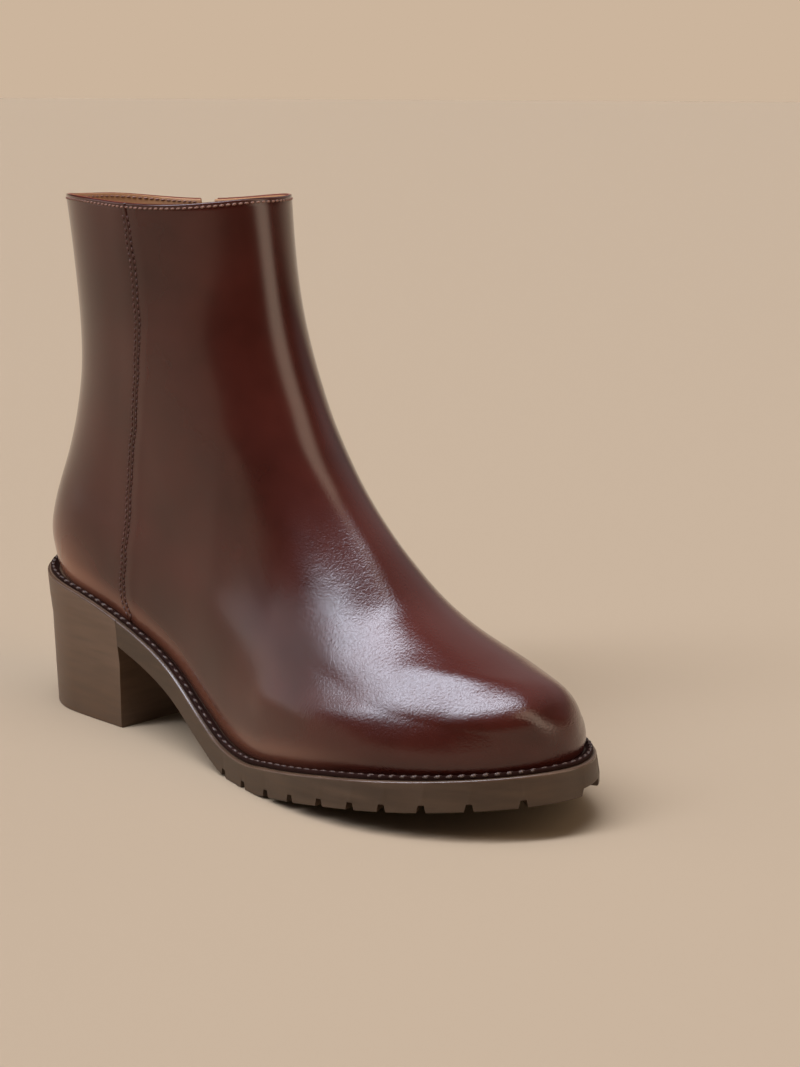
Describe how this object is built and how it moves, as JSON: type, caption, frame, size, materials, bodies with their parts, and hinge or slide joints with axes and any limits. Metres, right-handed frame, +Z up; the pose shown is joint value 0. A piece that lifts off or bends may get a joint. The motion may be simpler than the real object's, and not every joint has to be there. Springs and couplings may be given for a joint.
{
  "type": "heeled ankle boot",
  "caption": "Right ankle boot in polished leather with a block heel, lugged rubber forepart, stitched welt and an inner side zip whose pull tab swings.",
  "frame": {"origin": "middle of the boot's bounding box on the floor it stands on", "axes": "+X towards the toe, +Y towards the inner side of the foot, +Z up"},
  "size_m": [0.2652, 0.0949, 0.2076],
  "materials": {
    "calf_leather": "polished burgundy brown calf, soft gloss",
    "sole_rubber": "moulded dark brown rubber, satin",
    "welt_leather": "near black brown strip with light stitches",
    "insole_leather": "tan lining leather, matt",
    "zip_tape": "dark woven tape",
    "gunmetal": "dark gunmetal plating, satin"
  },
  "bodies": {
    "boot": {"outsole": "sole_rubber", "heel": "sole_rubber", "welt": "welt_leather", "upper": "calf_leather", "insole": "insole_leather", "zip_tape": "zip_tape", "zip_teeth": "gunmetal", "zip_slider": "gunmetal"},
    "zip_pull": {"zip_pull": "gunmetal"}
  },
  "joints": [
    {"name": "pull_hinge", "type": "hinge", "parent": "boot", "child": "zip_pull", "pos_m": [-0.08249, 0.03584, 0.19364], "axis": [0.9842, 0.1769, 0], "range_deg": [-7, 165]}
  ]
}
